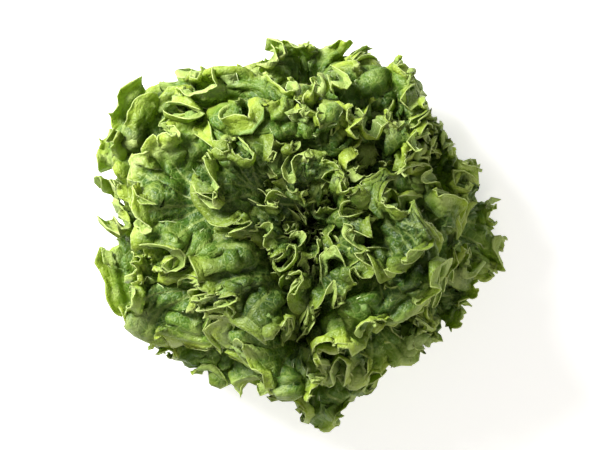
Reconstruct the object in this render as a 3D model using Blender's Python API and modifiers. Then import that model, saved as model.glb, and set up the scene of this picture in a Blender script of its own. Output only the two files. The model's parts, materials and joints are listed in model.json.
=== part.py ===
"""Green leaf lettuce: one whole head, cut at the butt and standing on its cut face.

Leaves sit round a short stem at the golden angle. Each leaf is a fan of veins laid in its own
shell of the head, and its margin is thrown into ruffles by bending the veins' outer ends in and
out. The outer leaves are separate pieces that grow their ruffles while they stay clear of each
other. The young leaves of the heart cross and are joined, with the tip of the stem, in one piece.
+Z points up out of the head. The origin is on the surface that the head stands on, under the
middle of its footprint.
"""
import math

import bmesh
import bpy
import numpy as np
from mathutils import Matrix
from mathutils.bvhtree import BVHTree

# Blades, in metres
BLADE = 0.0009
RIB = 0.0020
RIB_FOOT_WIDTH = 0.0083
RIB_TIP_WIDTH = 0.0018
CLEARANCE = 0.0003

# Numbers of leaves, and the place of the first and last of them: 1 is outermost, 0 is the middle
OUTER_LEAVES = 20
HEART_LEAVES = 12
OUTER_PLACES = (1.0, 0.52)
HEART_PLACES = (0.455, 0.015)
GOLDEN_ANGLE = math.radians(137.508)
AZIMUTH_JITTER = 0.2
SEED = 11

# How a leaf changes with its place: metres, ruffles along the margin, degrees
PLACES = [0.0, 0.06, 0.13, 0.25, 0.5, 0.75, 1.0]
LENGTH = [0.028, 0.046, 0.066, 0.092, 0.128, 0.133, 0.134]
HALF_WIDTH = [0.011, 0.019, 0.030, 0.045, 0.062, 0.070, 0.072]
FOOT_HALF_WIDTH = [0.003, 0.004, 0.006, 0.008, 0.010, 0.011, 0.012]
RUFFLES = [4, 6, 8, 10, 10, 12, 12]
RUFFLE_DEPTH = [0.010, 0.015, 0.021, 0.029, 0.040, 0.044, 0.044]
RUFFLE_BEND = [80, 82, 86, 88, 92, 92, 86]
MARGIN_ROLL = [-6, -14, -20, -16, -10, -4, 6]

# Outline of a flat leaf
WIDEST = 0.60
SIDE_POWER = 0.92
SHOULDER_POWER = 1.7
MIDRIB_SHARE = 0.72
VEIN_END_ANGLE = math.radians(148)
RUFFLE_FADE = (math.radians(100), math.radians(155))
LOBE_REACH = 0.20
GATHER = 0.15

# Shells of the head: lean from upright at the foot and at the tip, and where the foot is
FOOT_LEAN = (3.0, 56.0, 1.6)
TIP_LEAN = (10.0, 119.0, 1.05)
ARCH = 1.3
WRAP_LIMIT = 2.3
WRAP_SHARE = 0.92
STEM_TOP = 0.062
STEM_FALL = 0.050
TIP_RADIUS = 0.0012
SHOULDER_RADIUS = 0.0033
FOOT_SPREAD = 0.0125

# The head as a whole: gentle bends, and how its reach changes round it (cosine, sine)
WARP = 0.0075
SIZE = 0.946
OUTLINE = [(-0.110, 0.004), (0.062, -0.026), (-0.009, 0.029), (0.013, -0.015), (0.022, -0.044)]
FLOOR_GAP = 0.0022
FLOOR_SOFTNESS = 0.003

# Stem, and where its axis stands beside the middle of the footprint
STEM_AT = (0.00505, 0.00677)
STEM_SPLIT = 0.0370
CUT_RADIUS = 0.0160
BUTT_RADIUS = 0.0176
BUTT_HEIGHT = 0.0085
STEM_SIDES = 24
HEART_SIDES = 20
HEART_CORE = [(0.0109, 0.0370), (0.0112, 0.0385), (0.0120, 0.0420), (0.0128, 0.0500), (0.0138, 0.0560),
              (0.0185, 0.0650), (0.0235, 0.0760), (0.0240, 0.0825), (0.0180, 0.0850), (0.0090, 0.0825)]
HEART_CORE_DIMPLE = 0.0790

# Growth of the ruffles
GROWTH_STEPS = 24
SETTLING_ROUNDS = 45
SWEEPS = 3
CONTACT_REACH = 0.0040
LARGEST_PUSH = 0.0040
CUT_BACK = 0.10
CROSSING_PUSH = 0.0010

# Colours of the fresh head, linear
OUTER_GREEN = (0.115, 0.235, 0.030, 1.0)
INNER_GREEN = (0.190, 0.330, 0.045, 1.0)
HEART_GREEN = (0.330, 0.470, 0.110, 1.0)
STEM_CREAM = (0.620, 0.640, 0.400, 1.0)
INNER_FROM_PLACE = 0.76


def by_place(place, values):
    return float(np.interp(place, PLACES, values))


def smooth(x, low, high):
    """Eases from 0 at low to 1 at high."""
    u = np.clip((np.asarray(x, float) - low) / (high - low), 0, 1)
    return u * u * (3 - 2 * u)


class Noise:
    """A sum of sine waves of random directions, with wave counts per unit between two limits."""

    def __init__(self, rng, low, high, waves, dims):
        way = rng.normal(size=(dims, waves))
        way /= np.linalg.norm(way, axis=0)
        self.way = way * rng.uniform(low, high, waves) * 2 * math.pi
        self.start = rng.uniform(0, 2 * math.pi, waves)
        self.height = rng.uniform(0.6, 1.0, waves) * 1.3 / math.sqrt(waves)

    def __call__(self, *coordinates):
        points = np.stack(coordinates, -1)
        return (self.height * np.sin(points @ self.way + self.start)).sum(-1)


WARP_FIELDS = [Noise(np.random.default_rng(SEED + k), 7, 12, 6, 3) for k in range(3)]


def warp_head(p):
    """Bends the whole head gently, and gives it the outline seen from above."""
    away = np.linalg.norm(p - np.array([0, 0, 0.03]), axis=-1)
    bend = np.stack([field(p[..., 0], p[..., 1], p[..., 2]) for field in WARP_FIELDS], -1)
    p = p + WARP * bend * smooth(away, 0.03, 0.11)[..., None]
    x, y = p[..., 0], p[..., 1]
    angle = np.arctan2(y, x)
    reach = np.ones_like(angle)
    for k, (cosine, sine) in enumerate(OUTLINE, 1):
        reach = reach + cosine * np.cos(k * angle) + sine * np.sin(k * angle)
    reach = 1 + (reach * SIZE - 1) * smooth(np.hypot(x, y), 0.015, 0.09)
    return np.stack([x * reach, y * reach, p[..., 2]], -1)


def above_floor(p):
    """Keeps drooping leaves just above what the head stands on."""
    z = p[..., 2] - FLOOR_GAP
    z = FLOOR_GAP + 0.5 * (z + np.sqrt(z * z + FLOOR_SOFTNESS ** 2))
    return np.stack([p[..., 0], p[..., 1], z], -1)


def shell_foot(place):
    """Radius and height at which a leaf of this place leaves the stem."""
    radius = TIP_RADIUS + SHOULDER_RADIUS * float(smooth(place, 0, 0.10))
    return radius + FOOT_SPREAD * place ** 0.8, STEM_TOP - STEM_FALL * place


class Leaf:
    """A leaf as a rule. c runs from -1 to 1 along the margin, from the foot's one side over the
    tip to its other side, and rho from 0 on the midrib to 1 on the margin, along the veins."""

    def __init__(self, place, azimuth, rng, young):
        self.place, self.azimuth, self.young = place, azimuth, young
        self.length = by_place(place, LENGTH) * rng.uniform(0.93, 1.07)
        self.half_width = by_place(place, HALF_WIDTH) * rng.uniform(0.93, 1.08)
        self.foot_half_width = by_place(place, FOOT_HALF_WIDTH)
        self.ruffles = int(round(by_place(place, RUFFLES) / 2)) * 2
        self.depth = by_place(place, RUFFLE_DEPTH)
        self.bend = math.radians(by_place(place, RUFFLE_BEND))
        self.roll = math.radians(by_place(place, MARGIN_ROLL))
        quarter = int(rng.integers(0, 4))
        self.start = (quarter % 2 * 2 + 1 if young else quarter) * math.pi / 2
        self.spacing = Noise(rng, 0.6, self.ruffles * 0.40, 6, 1)
        self.swell = Noise(rng, 0.8, self.ruffles * 0.75, 6, 1)
        self.sway = Noise(rng, 5, 13, 8, 2)
        self.lean = rng.uniform(-0.10, 0.10)
        self.turns = self.ruffles * math.pi
        self.lay_shell()
        self.lay_margin()
        n = self.ruffles
        if young:
            self.rows = [(0.0, n), (0.5, n), (1.0, 2 * n)]
        else:
            self.rows = [(0.0, n), (0.34, n), (0.66, 2 * n), (0.85, 4 * n), (1.0, 4 * n)]
        self.gain = np.ones(4 * n + 1)

    def lay_shell(self):
        """The curve from foot to tip that this leaf's shell turns round the head's axis."""
        low, rise, power = FOOT_LEAN
        foot = math.radians(low + rise * self.place ** power)
        low, rise, power = TIP_LEAN
        tip = math.radians(low + rise * self.place ** power)
        share = np.linspace(-0.05, 1.35, 240)
        lean = foot + (tip - foot) * np.sign(share) * np.abs(share) ** ARCH
        step = (share[1] - share[0]) * self.length
        middle = (lean[1:] + lean[:-1]) / 2
        radius = np.concatenate([[0], np.cumsum(np.sin(middle) * step)])
        height = np.concatenate([[0], np.cumsum(np.cos(middle) * step)])
        self.along = share * self.length
        foot_radius, foot_height = shell_foot(self.place)
        self.shell_radius = radius - np.interp(0, self.along, radius) + foot_radius
        self.shell_height = height - np.interp(0, self.along, height) + foot_height
        self.shell_lean = lean

    def lay_margin(self):
        """Where each vein ends on the flat leaf's margin, with ruffles of uneven width."""
        c = np.linspace(-1, 1, 801)
        density = np.exp(0.42 * self.spacing(c))
        total = np.concatenate([[0], np.cumsum((density[1:] + density[:-1]) / 2)])
        total = total / total[-1] * 2 - 1
        edge = 1 - 1 / self.ruffles
        a = np.abs(total)
        shoulder = VEIN_END_ANGLE + (math.pi - VEIN_END_ANGLE) * (a - edge) / (1 - edge)
        self.table_c = c
        self.table_angle = np.sign(total) * np.where(a < edge, a / edge * VEIN_END_ANGLE, shoulder)
        self.table_x, self.table_y = self.outline(self.table_angle)
        self.table_dx = np.gradient(self.table_x, c)
        self.table_dy = np.gradient(self.table_y, c)

    def outline(self, angle):
        a = np.abs(angle)
        widest = WIDEST * self.length
        upper_y = widest + (self.length - widest) * np.cos(a)
        upper_x = self.half_width * np.sin(np.minimum(a, math.pi / 2)) ** SIDE_POWER
        lower_y = widest * (1 + np.cos(a))
        rise = np.sin(math.pi / 2 * np.clip(lower_y / widest, 0, 1)) ** SHOULDER_POWER
        lower_x = self.foot_half_width + (self.half_width - self.foot_half_width) * rise
        upper = a < math.pi / 2
        return np.sign(angle) * np.where(upper, upper_x, lower_x), np.where(upper, upper_y, lower_y)

    def midrib(self, c):
        return MIDRIB_SHARE * self.length * ((1 + np.cos(math.pi * np.abs(c))) / 2) ** 1.1

    def table(self, c, values):
        return np.interp(c, self.table_c, values)

    def spread_out(self, c, rho):
        """The leaf unrolled: across, along, and how far it stands off its shell, inwards."""
        angle = self.table(c, self.table_angle)
        end_x, end_y = self.table(c, self.table_x), self.table(c, self.table_y)
        root_y = self.midrib(c)
        vein = np.hypot(end_x, end_y - root_y)
        way_x, way_y = end_x / vein, (end_y - root_y) / vein
        envelope = 1 - smooth(np.abs(angle), *RUFFLE_FADE)
        gain = np.interp(c, np.linspace(-1, 1, len(self.gain)), self.gain)
        swing = np.clip(0.90 + 0.28 * self.swell(c), 0.5, 1.12) * envelope * gain
        phase = self.turns * c + self.start
        wave = np.sin(phase)
        depth = np.minimum(self.depth, 0.75 * vein)
        whole = vein + LOBE_REACH * depth * swing * np.abs(wave)
        straight = np.minimum(rho * whole, whole - depth)
        bent = rho * whole - straight
        forward = np.zeros_like(bent)
        inward = np.zeros_like(bent)
        steps = 9
        for k in range(steps):
            part = (bent * (k + 0.5) / steps / depth) ** 1.6
            turn = self.bend * swing * part * (wave - 0.18 * np.abs(wave)) + self.roll * part * envelope
            forward += np.cos(turn) / steps
            inward += np.sin(turn) / steps
        x = way_x * (straight + forward * bent)
        y = root_y + way_y * (straight + forward * bent)
        near = (bent / depth) ** 1.3
        gather = -GATHER * swing * near * np.sin(2 * phase) * 2 * math.pi / self.turns
        x = x + self.table(c, self.table_dx) * gather
        y = y + self.table(c, self.table_dy) * gather
        sway = (0.0015 + 0.003 * self.place) * self.sway(x, y) * smooth(y, 0.02, 0.08)
        return x, y, inward * bent + sway

    def surface(self, c, rho):
        """Points of the blade's middle surface in the head."""
        x, y, off = self.spread_out(c, rho)
        radius = np.interp(y, self.along, self.shell_radius)
        height = np.interp(y, self.along, self.shell_height)
        lean = np.interp(y, self.along, self.shell_lean)
        wrap = x / np.maximum(radius, 0.006) * WRAP_SHARE
        angle = self.azimuth + WRAP_LIMIT * np.tanh(wrap / WRAP_LIMIT) + self.lean * y / self.length
        radius = radius - np.cos(lean) * off
        height = height + np.sin(lean) * off
        return warp_head(np.stack([radius * np.cos(angle), radius * np.sin(angle), height], -1))

    def rib(self, c, rho):
        """Height of the midrib on the back."""
        root_y = self.midrib(c)
        x = self.table(c, self.table_x) * rho
        y = root_y + (self.table(c, self.table_y) - root_y) * rho
        fade = np.clip(1 - y / (0.86 * self.length), 0, 1)
        width = RIB_TIP_WIDTH + (RIB_FOOT_WIDTH - RIB_TIP_WIDTH) * fade
        return RIB * fade ** 0.8 * np.exp(-(x / width) ** 2)


class Net:
    """A leaf as rows of points with more of them towards the margin, woven into triangles."""

    def __init__(self, leaf):
        self.leaf = leaf
        self.row_c = np.concatenate([np.linspace(-1, 1, n + 1) for _, n in leaf.rows])
        self.row_rho = np.concatenate([np.full(n + 1, rho) for rho, n in leaf.rows])
        self.weave()
        self.c = self.gather(self.row_c)
        self.rho = self.gather(self.row_rho)
        self.rib = self.gather(leaf.rib(self.row_c, self.row_rho))
        self.push = np.zeros((self.count, 3))
        self.wanted = leaf.gain.copy()

    def weave(self):
        """The first row is the midrib, where a point stands for both sides of the leaf."""
        self.ids = []
        half = self.leaf.rows[0][1] // 2
        self.count = half + 1
        for k, (_, n) in enumerate(self.leaf.rows):
            if k == 0:
                self.ids.append(np.abs(np.arange(n + 1) - half))
            else:
                self.ids.append(self.count + np.arange(n + 1))
                self.count += n + 1
        self.triangles = []
        for a, b in zip(self.ids[:-1], self.ids[1:]):
            cells = len(a) - 1
            for j in range(cells):
                if len(b) - 1 == 2 * cells:
                    first, middle, last = b[2 * j:2 * j + 3]
                    self.triangles += [(a[j], first, middle), (a[j], middle, a[j + 1]),
                                       (a[j + 1], middle, last)]
                elif j < cells / 2:
                    self.triangles += [(a[j], b[j], a[j + 1]), (a[j + 1], b[j], b[j + 1])]
                else:
                    self.triangles += [(a[j], b[j + 1], a[j + 1]), (a[j], b[j], b[j + 1])]

    def gather(self, values):
        """One value a point, from values row by row."""
        out = np.zeros((self.count,) + values.shape[1:])
        at = 0
        for ids in self.ids:
            row = values[at:at + len(ids)]
            at += len(ids)
            if ids is self.ids[0]:
                row = (row + row[::-1]) / 2
            out[ids] = row
        return out

    def set_growth(self, share):
        self.leaf.gain = self.wanted * share
        self.rest = self.gather(self.leaf.surface(self.row_c, self.row_rho))

    def points(self):
        return above_floor(self.rest + self.push)

    def normals(self, p):
        """Which way the blade's front faces at each point."""
        t = np.array(self.triangles)
        facing = np.cross(p[t[:, 1]] - p[t[:, 0]], p[t[:, 2]] - p[t[:, 0]])
        normal = np.zeros_like(p)
        for k in range(3):
            np.add.at(normal, t[:, k], facing)
        return normal / np.maximum(np.linalg.norm(normal, axis=1, keepdims=True), 1e-12)

    def solid(self, blade):
        """Points and triangles of the closed blade, split alike on both faces."""
        p = self.points()
        normal = self.normals(p)
        front = p + normal * blade / 2
        back = p - normal * (blade / 2 + self.rib)[:, None]
        n = self.count
        faces = [tuple(int(v) for v in tri) for tri in self.triangles]
        faces += [(c + n, b + n, a + n) for a, b, c in faces]
        edge = list(self.ids[-1])
        edge = [row[0] for row in self.ids[:-1]] + edge + [row[-1] for row in self.ids[-2::-1]]
        for a, b in zip(edge[:-1], edge[1:]):
            a, b = int(a), int(b)
            faces += [(a + n, b + n, b), (a + n, b, a)]
        return np.concatenate([front, back]), faces

    def cut_back(self, marks):
        """Less ruffle and less push near these points."""
        marks = sorted(marks)
        c = self.c[marks]
        c = np.concatenate([c, -c[self.rho[marks] == 0]])
        grid = np.linspace(-1, 1, len(self.wanted))
        near = np.exp(-((grid[:, None] - c[None]) * self.leaf.ruffles / 0.9) ** 2).max(1)
        self.wanted = self.wanted * (1 - CUT_BACK * near)
        self.push[marks] *= 1 - CUT_BACK

    def share_push(self, move):
        """Spreads a push over the points beside it, so that the blade stays fair."""
        finest = self.leaf.rows[-1][1]
        grid = np.linspace(-1, 1, finest + 1)
        level = np.stack([np.stack([np.interp(grid, np.linspace(-1, 1, len(ids)), move[ids, axis])
                                    for axis in range(3)], -1) for ids in self.ids])
        soft = level.copy()
        soft[:, 1:-1] = 0.25 * level[:, :-2] + 0.5 * level[:, 1:-1] + 0.25 * level[:, 2:]
        fair = soft.copy()
        fair[1:-1] = 0.2 * soft[:-2] + 0.6 * soft[1:-1] + 0.2 * soft[2:]
        out = np.zeros_like(move)
        for row, ids in enumerate(self.ids):
            out[ids] = fair[row, ::finest // (len(ids) - 1)]
        hold = 0.3 + 0.7 * smooth(self.rho, 0.0, 0.12)
        self.push = self.push + (0.6 * move + 0.6 * out) * hold[:, None]


def apart(box, other):
    return (box[0] > other[1]).any() or (other[0] > box[1]).any()


def push_apart(nets):
    """Moves points that are too near a neighbour to their own side of it, and it the other way."""
    points = [net.points() for net in nets]
    trees = [BVHTree.FromPolygons(p.tolist(), net.triangles) for p, net in zip(points, nets)]
    boxes = [(p.min(0) - CONTACT_REACH, p.max(0) + CONTACT_REACH) for p in points]
    moves = [np.zeros_like(p) for p in points]
    hits = [np.zeros(len(p)) for p in points]
    for i, net in enumerate(nets):
        for j, other in enumerate(nets):
            if i == j or (net.leaf.young and other.leaf.young) or apart(boxes[i], boxes[j]):
                continue
            inner = net.leaf.place < other.leaf.place
            sign = 1.0 if inner else -1.0
            within = ((points[i] > boxes[j][0]) & (points[i] < boxes[j][1])).all(1)
            for v in np.nonzero(within)[0]:
                spot, normal, face, _ = trees[j].find_nearest(points[i][v], CONTACT_REACH)
                if spot is None:
                    continue
                gap = points[i][v] - np.array(spot)
                normal = np.array(normal)
                height = float(gap @ normal)
                beside = np.linalg.norm(gap - height * normal)
                height *= sign
                if beside > 0.35 * abs(height) + 0.0003:
                    continue
                corners = list(other.triangles[face])
                rib = net.rib[v] if inner else other.rib[corners].max()
                lacking = BLADE + 0.0005 + rib - height
                if lacking <= 0:
                    continue
                push = normal * sign * min(lacking, LARGEST_PUSH) / 2
                moves[i][v] += push
                hits[i][v] += 1
                moves[j][corners] -= push * 0.6
                hits[j][corners] += 0.6
    for net, move, hit in zip(nets, moves, hits):
        net.share_push(move / np.maximum(hit, 1)[:, None])


def cut_back_crossings(nets):
    """Lessens the ruffles wherever two blades, or one blade's own lobes, still cross, and moves
    crossing blades back to their own sides. The outer blade comes first."""
    solids = [net.solid(BLADE + CLEARANCE) for net in nets]
    trees = [BVHTree.FromPolygons(p.tolist(), faces) for p, faces in solids]
    boxes = [(p.min(0), p.max(0)) for p, _ in solids]
    fronts = [net.normals(net.points()) for net in nets]
    moves = [np.zeros_like(front) for front in fronts]
    marks = [set() for _ in nets]
    crossings = 0
    for i, net in enumerate(nets):
        faces = solids[i][1]
        for tree in (trees[i], BVHTree.FromPolygons(net.solid(BLADE)[0].tolist(), faces)):
            for a, b in tree.overlap(tree):
                if a < b and not set(faces[a]) & set(faces[b]):
                    marks[i].update(v % net.count for v in faces[a] + faces[b])
                    crossings += 1
        for j in range(i + 1, len(nets)):
            if (net.leaf.young and nets[j].leaf.young) or apart(boxes[i], boxes[j]):
                continue
            for a, b in trees[i].overlap(trees[j]):
                ours = [v % net.count for v in faces[a]]
                theirs = [v % nets[j].count for v in solids[j][1][b]]
                our_rho, their_rho = net.rho[ours].max(), nets[j].rho[theirs].max()
                if our_rho >= their_rho - 0.15:
                    marks[i].update(ours)
                if their_rho >= our_rho - 0.15:
                    marks[j].update(theirs)
                way = fronts[i][ours].mean(0)
                moves[i][ours] = -CROSSING_PUSH * way
                moves[j][theirs] = CROSSING_PUSH * way
                crossings += 1
    for net, move, touched in zip(nets, moves, marks):
        if touched:
            net.share_push(move)
            net.cut_back(touched)
    return crossings


def grow(leaves):
    """Lets the ruffles of all leaves grow together until each has its own room."""
    nets = [Net(leaf) for leaf in leaves]
    shares = [0.0] * 3 + [k / GROWTH_STEPS for k in range(1, GROWTH_STEPS)]
    for share in shares + [1.0] * SETTLING_ROUNDS:
        for net in nets:
            net.set_growth(share)
        for _ in range(SWEEPS):
            push_apart(nets)
        if cut_back_crossings(nets) == 0 and share == 1.0:
            break
    return nets


def plan_leaves():
    """Every leaf of the head from the outermost in, at the golden angle round the stem."""
    leaves = []
    for k in range(OUTER_LEAVES + HEART_LEAVES):
        young = k >= OUTER_LEAVES
        if young:
            share = (k - OUTER_LEAVES) / (HEART_LEAVES - 1)
            place = HEART_PLACES[0] + (HEART_PLACES[1] - HEART_PLACES[0]) * share ** 0.9
        else:
            share = k / (OUTER_LEAVES - 1)
            place = OUTER_PLACES[0] + (OUTER_PLACES[1] - OUTER_PLACES[0]) * share
        rng = np.random.default_rng(SEED * 1000 + k)
        azimuth = k * GOLDEN_ANGLE + rng.uniform(-AZIMUTH_JITTER, AZIMUTH_JITTER)
        leaves.append(Leaf(place, azimuth, rng, young))
    return leaves


def new_object(name, mesh, collection, parent):
    obj = bpy.data.objects.new(name, mesh)
    collection.objects.link(obj)
    obj.parent = parent
    return obj


def new_material(name, colour, roughness):
    material = bpy.data.materials.new(name)
    material.use_nodes = True
    shader = material.node_tree.nodes["Principled BSDF"]
    shader.inputs["Base Color"].default_value = colour
    shader.inputs["Roughness"].default_value = roughness
    shader.inputs["Metallic"].default_value = 0.0
    material.diffuse_color = colour
    return material


def blade_mesh(name, net, foot):
    """The leaf's closed mesh, in the axes of its own foot."""
    points, faces = net.solid(BLADE)
    to_foot = np.array(foot.inverted())
    points = points @ to_foot[:3, :3].T + to_foot[:3, 3]
    mesh = bpy.data.meshes.new(name)
    mesh.from_pydata(points.tolist(), [], faces)
    mesh.validate()
    return mesh


def foot_frame(leaf):
    radius, height = shell_foot(leaf.place)
    at = Matrix.Translation((radius * math.cos(leaf.azimuth), radius * math.sin(leaf.azimuth), height))
    return at @ Matrix.Rotation(leaf.azimuth, 4, "Z")


def add_leaf(name, net, collection, parent, material):
    foot = foot_frame(net.leaf)
    obj = new_object(name, blade_mesh(name, net, foot), collection, parent)
    obj.location = foot.to_translation()
    obj.rotation_euler = (0, 0, net.leaf.azimuth)
    if material:
        obj.data.materials.append(material)
    return obj


def turned(name, profile, sides, collection, parent):
    """A solid turned round the head's axis from (radius, height) points, by a Screw modifier."""
    mesh = bpy.data.meshes.new(name)
    mesh.from_pydata([(r, 0, z) for r, z in profile], [(k, k + 1) for k in range(len(profile) - 1)], [])
    obj = new_object(name, mesh, collection, parent)
    screw = obj.modifiers.new("Turn", "SCREW")
    screw.axis = "Z"
    screw.angle = 2 * math.pi
    screw.steps = sides
    screw.render_steps = sides
    screw.use_merge_vertices = True
    screw.merge_threshold = 0.00005
    screw.use_normal_calculate = True
    return obj


def stem_profile():
    """The butt from its cut face up to where the heart's own tip begins."""
    points = [(0.0, 0.0), (CUT_RADIUS, 0.0), (CUT_RADIUS + 0.0006, 0.0005), (BUTT_RADIUS, 0.0035),
              (BUTT_RADIUS, 0.0070), (BUTT_RADIUS - 0.0008, BUTT_HEIGHT)]
    for place in np.linspace(1.0, 0.53, 7):
        radius, height = shell_foot(place)
        points.append((radius - 0.0012, height))
    points.append((points[-1][0] - 0.0004, STEM_SPLIT - CLEARANCE))
    points.append((0.0, STEM_SPLIT - CLEARANCE))
    return points


def core_profile():
    """The tip of the stem, and the packed feet of the young leaves that stand out of it."""
    return [(0.0, STEM_SPLIT)] + HEART_CORE + [(0.0, HEART_CORE_DIMPLE)]


def keep_one_body(mesh):
    """Fills the hollows that joining sealed and drops loose scraps: only the largest skin stays."""
    work = bmesh.new()
    work.from_mesh(mesh)
    bmesh.ops.triangulate(work, faces=work.faces)
    left = set(work.faces)
    skins = []
    while left:
        skin = {left.pop()}
        front = list(skin)
        while front:
            face = front.pop()
            for edge in face.edges:
                for beside in edge.link_faces:
                    if beside in left:
                        left.remove(beside)
                        skin.add(beside)
                        front.append(beside)
        skins.append(skin)
    largest = max(skins, key=len)
    spare = [face for skin in skins if skin is not largest for face in skin]
    bmesh.ops.delete(work, geom=spare, context="FACES")
    loose = [v for v in work.verts if not v.link_faces]
    bmesh.ops.delete(work, geom=loose, context="VERTS")
    work.to_mesh(mesh)
    work.free()


def join_heart(heart, nets, workshop):
    """One Boolean union of the core with all the young leaves, applied."""
    for k, net in enumerate(nets):
        add_leaf("young_leaf_%02d" % (k + 1), net, workshop, heart.parent, None)
    union = heart.modifiers.new("Join leaves", "BOOLEAN")
    union.operation = "UNION"
    union.operand_type = "COLLECTION"
    union.collection = workshop
    union.solver = "EXACT"
    depsgraph = bpy.context.evaluated_depsgraph_get()
    joined = bpy.data.meshes.new_from_object(heart.evaluated_get(depsgraph))
    heart.modifiers.clear()
    heart.data = joined
    joined.name = "heart"
    keep_one_body(joined)
    for obj in list(workshop.objects):
        bpy.data.objects.remove(obj)


def main():
    for obj in list(bpy.data.objects):
        bpy.data.objects.remove(obj)
    scene = bpy.context.scene
    scene.unit_settings.system = "METRIC"
    lettuce = bpy.data.collections.new("green_leaf_lettuce")
    workshop = bpy.data.collections.new("workshop")
    scene.collection.children.link(lettuce)
    scene.collection.children.link(workshop)
    root = new_object("lettuce", None, lettuce, None)
    root.empty_display_size = 0.05
    root.location = (STEM_AT[0], STEM_AT[1], 0)

    outer = new_material("leaf_outer", OUTER_GREEN, 0.45)
    inner = new_material("leaf_inner", INNER_GREEN, 0.45)
    young = new_material("leaf_heart", HEART_GREEN, 0.42)
    cream = new_material("stem_cream", STEM_CREAM, 0.50)

    nets = grow(plan_leaves())
    stem = turned("stem", stem_profile(), STEM_SIDES, lettuce, root)
    stem.data.materials.append(cream)
    for k, net in enumerate(nets[:OUTER_LEAVES]):
        green = outer if net.leaf.place > INNER_FROM_PLACE else inner
        add_leaf("leaf_%02d" % (k + 1), net, lettuce, root, green)
    heart = turned("heart", core_profile(), HEART_SIDES, lettuce, root)
    join_heart(heart, nets[OUTER_LEAVES:], workshop)
    heart.data.materials.clear()
    heart.data.materials.append(young)
    bpy.data.collections.remove(workshop)


main()
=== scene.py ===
"""Green leaf lettuce: the fresh look of the head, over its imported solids.

The shape rules are those of the head's solids, so every fine leaf lies in its own solid's place.
On top of them come the small frills and scallops of the margins, the blisters between the veins,
the raised veins on the backs, the finishes, and a pale stage seen from straight above.
"""
import functools
import json
import math

import bpy
import numpy as np
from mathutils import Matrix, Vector
from mathutils.bvhtree import BVHTree

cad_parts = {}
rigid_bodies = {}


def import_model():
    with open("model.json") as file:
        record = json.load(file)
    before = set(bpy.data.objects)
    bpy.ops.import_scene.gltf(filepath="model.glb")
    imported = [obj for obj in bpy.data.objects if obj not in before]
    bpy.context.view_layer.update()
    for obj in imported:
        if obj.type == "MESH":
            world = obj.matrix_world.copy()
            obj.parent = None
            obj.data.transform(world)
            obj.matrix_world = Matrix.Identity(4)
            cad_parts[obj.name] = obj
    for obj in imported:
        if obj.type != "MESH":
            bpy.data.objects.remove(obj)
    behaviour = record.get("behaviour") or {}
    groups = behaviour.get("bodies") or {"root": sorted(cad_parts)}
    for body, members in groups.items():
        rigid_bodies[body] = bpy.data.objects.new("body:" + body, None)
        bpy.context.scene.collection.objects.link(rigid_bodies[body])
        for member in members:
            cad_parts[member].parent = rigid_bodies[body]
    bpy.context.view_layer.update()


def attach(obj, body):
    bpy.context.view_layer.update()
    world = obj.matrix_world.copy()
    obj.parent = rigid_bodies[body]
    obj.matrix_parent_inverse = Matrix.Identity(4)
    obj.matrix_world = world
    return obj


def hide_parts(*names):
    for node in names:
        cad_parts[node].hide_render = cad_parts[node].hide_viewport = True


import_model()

bl_info = {
    "name": "Green leaf lettuce",
    "version": (1, 0, 0),
    "blender": (4, 5, 0),
    "location": "3D View > Sidebar > Lettuce",
    "description": "Fine leaves, heart, veins and stem of a green leaf lettuce, with a stage",
    "category": "Object",
}

# Blades, in metres
BLADE = 0.0009
RIB = 0.0020
RIB_FOOT_WIDTH = 0.0083
RIB_TIP_WIDTH = 0.0018
CLEARANCE = 0.0003

# Numbers of leaves, and the place of the first and last of them: 1 is outermost, 0 is the middle.
# Below INNER_BELOW a leaf has the inner greens. Then how much one leaf differs from the next
OUTER_LEAVES = 20
HEART_LEAVES = 12
OUTER_PLACES = (1.0, 0.52)
HEART_PLACES = (0.455, 0.015)
INNER_BELOW = 0.76
GOLDEN_ANGLE = math.radians(137.508)
AZIMUTH_JITTER = 0.2
LENGTH_SPREAD = (0.93, 1.07)
WIDTH_SPREAD = (0.93, 1.08)
LEAN_SPREAD = (-0.10, 0.10)
SEED = 11

# How a leaf changes with its place: metres, ruffles along the margin, degrees
PLACES = [0.0, 0.06, 0.13, 0.25, 0.5, 0.75, 1.0]
LENGTH = [0.028, 0.046, 0.066, 0.092, 0.128, 0.133, 0.134]
HALF_WIDTH = [0.011, 0.019, 0.030, 0.045, 0.062, 0.070, 0.072]
FOOT_HALF_WIDTH = [0.003, 0.004, 0.006, 0.008, 0.010, 0.011, 0.012]
RUFFLES = [4, 6, 8, 10, 10, 12, 12]
RUFFLE_DEPTH = [0.010, 0.015, 0.021, 0.029, 0.040, 0.044, 0.044]
RUFFLE_BEND = [80, 82, 86, 88, 92, 92, 86]
MARGIN_ROLL = [-6, -14, -20, -16, -10, -4, 6]

# Rows of points of the solids: their place on the veins, and columns a ruffle
LEAF_ROWS = [(0.0, 1), (0.34, 1), (0.66, 2), (0.85, 4), (1.0, 4)]
YOUNG_ROWS = [(0.0, 1), (0.5, 1), (1.0, 2)]

# Outline of a flat leaf, and how its ruffles are spaced, swell and fade
WIDEST = 0.60
SIDE_POWER = 0.92
SHOULDER_POWER = 1.7
MIDRIB_SHARE = 0.72
VEIN_END_ANGLE = math.radians(148)
RUFFLE_FADE = (math.radians(100), math.radians(155))
MARGIN_STEPS = 801
UNEVENNESS = 0.42
SWELL = (0.90, 0.28)
SWELL_LIMITS = (0.5, 1.12)
DEPTH_LIMIT = 0.75
BEND_POWER = 1.6
BEND_STEPS = 9
OUTWARD_BIAS = 0.18
LOBE_REACH = 0.20
GATHER = 0.15
SWAY = (0.0015, 0.0030)

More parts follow.
